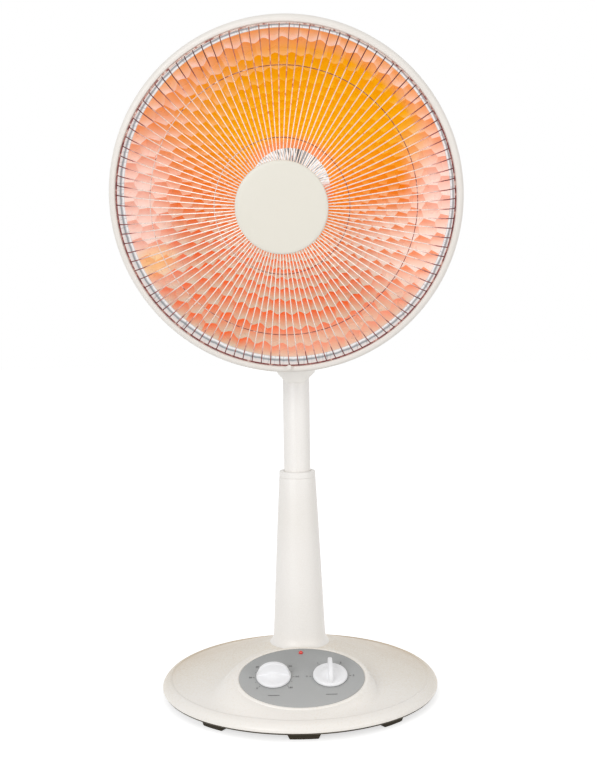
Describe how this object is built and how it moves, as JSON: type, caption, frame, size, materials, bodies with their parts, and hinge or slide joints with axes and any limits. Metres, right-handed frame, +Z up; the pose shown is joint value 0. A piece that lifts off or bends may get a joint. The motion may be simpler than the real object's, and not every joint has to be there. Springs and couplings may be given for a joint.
{
  "type": "parabolic heater",
  "caption": "Parabolic dish heater: round base with knobs on a sloping panel, telescopic column, and a wire-guarded dish that swivels and tilts on its neck.",
  "frame": {"origin": "on the floor, on the axis of the column, at the flat tip of the tip-over plunger under the middle of the base", "axes": "+Z up along the column, -Y to the front, where the panel and the dish face, +X to the right of someone who looks at the front"},
  "size_m": [0.3474, 0.3506, 0.709],
  "materials": {
    "white_plastic": "satin moulded plastic",
    "white_column": "smooth gloss",
    "white_paint": "gloss powder coat on steel",
    "panel_grey": "fine matt",
    "knob_white": "satin",
    "rubber": "matt",
    "plate_steel": "dark paint",
    "cast_iron": "rough",
    "zinc_steel": "zinc plated",
    "black_plastic": "fine matt",
    "reflector_metal": "bright facets",
    "polished_metal": "polished",
    "guard_wire": "plated wire",
    "ceramic": "unglazed ceramic",
    "coil_wire": "oxidised resistance wire",
    "red_lens": "clear red",
    "lamp_glass": "clear"
  },
  "bodies": {
    "stand": {"base_cover": "white_plastic", "base_plate": "plate_steel", "ballast_weight": "cast_iron", "foot_1": "rubber", "foot_2": "rubber", "foot_3": "rubber", "foot_4": "rubber", "foot_5": "rubber", "foot_6": "rubber", "foot_7": "rubber", "foot_8": "rubber", "foot_9": "rubber", "base_screw_1": "zinc_steel", "base_screw_2": "zinc_steel", "base_screw_3": "zinc_steel", "base_screw_4": "zinc_steel", "tip_switch": "black_plastic", "terminal_block": "ceramic", "cord_gland": "black_plastic", "control_panel": "panel_grey", "timer_unit": "black_plastic", "power_switch": "black_plastic", "indicator_lens": "red_lens", "indicator_lamp": "lamp_glass", "column": "white_column", "column_nut": "black_plastic", "column_collar": "white_plastic"},
    "plunger": {"tip_plunger": "black_plastic"},
    "timer_dial": {"timer_knob": "knob_white"},
    "power_dial": {"power_knob": "knob_white"},
    "lock": {"lock_knob": "white_plastic"},
    "mast": {"height_tube": "white_paint", "swivel_post": "zinc_steel", "swivel_washer": "black_plastic"},
    "neck": {"neck_housing": "white_plastic", "swing_motor": "zinc_steel", "neck_yoke": "white_plastic", "tilt_bolt": "zinc_steel", "tilt_nut": "zinc_steel", "tilt_washer_left": "black_plastic", "tilt_washer_right": "black_plastic"},
    "head": {"rear_housing": "white_plastic", "element_bracket": "zinc_steel", "thermal_cutout": "black_plastic", "ceramic_socket": "ceramic", "ceramic_cone": "ceramic", "heating_coil": "coil_wire", "hub_cup": "polished_metal", "reflector": "reflector_metal", "rim_ring": "white_plastic", "grille": "guard_wire", "centre_cap": "white_plastic", "cap_back": "zinc_steel", "cap_screw": "zinc_steel", "rim_clip": "white_plastic", "rim_screw": "zinc_steel"}
  },
  "joints": [
    {"name": "height_slide", "type": "slide", "parent": "stand", "child": "mast", "axis": [0, 0, 1], "range_m": [-0.07, 0.07]},
    {"name": "head_swing", "type": "hinge", "parent": "mast", "child": "neck", "pos_m": [0, 0, 0.36], "axis": [0, 0, 1], "range_deg": [-31, 39]},
    {"name": "head_tilt", "type": "hinge", "parent": "neck", "child": "head", "pos_m": [0, 0, 0.47], "axis": [-0.9965, 0.0837, 0], "range_deg": [-10, 30]},
    {"name": "timer_turn", "type": "hinge", "parent": "stand", "child": "timer_dial", "pos_m": [-0.03, -0.084, 0.043], "axis": [0, -0.342, 0.9397], "range_deg": [-210, 90]},
    {"name": "power_turn", "type": "hinge", "parent": "stand", "child": "power_dial", "pos_m": [0.03, -0.084, 0.043], "axis": [0, -0.342, 0.9397], "range_deg": [-120, 0]},
    {"name": "lock_turn", "type": "hinge", "parent": "stand", "child": "lock", "pos_m": [0.0127, 0.0272, 0.2448], "axis": [0.4226, 0.9063, 0], "range_deg": [0, 360]},
    {"name": "plunger_travel", "type": "slide", "parent": "stand", "child": "plunger", "axis": [0, 0, 1], "range_m": [-0.004, 0], "stiffness_N_per_m": 100, "springref_m": -0.008}
  ]
}
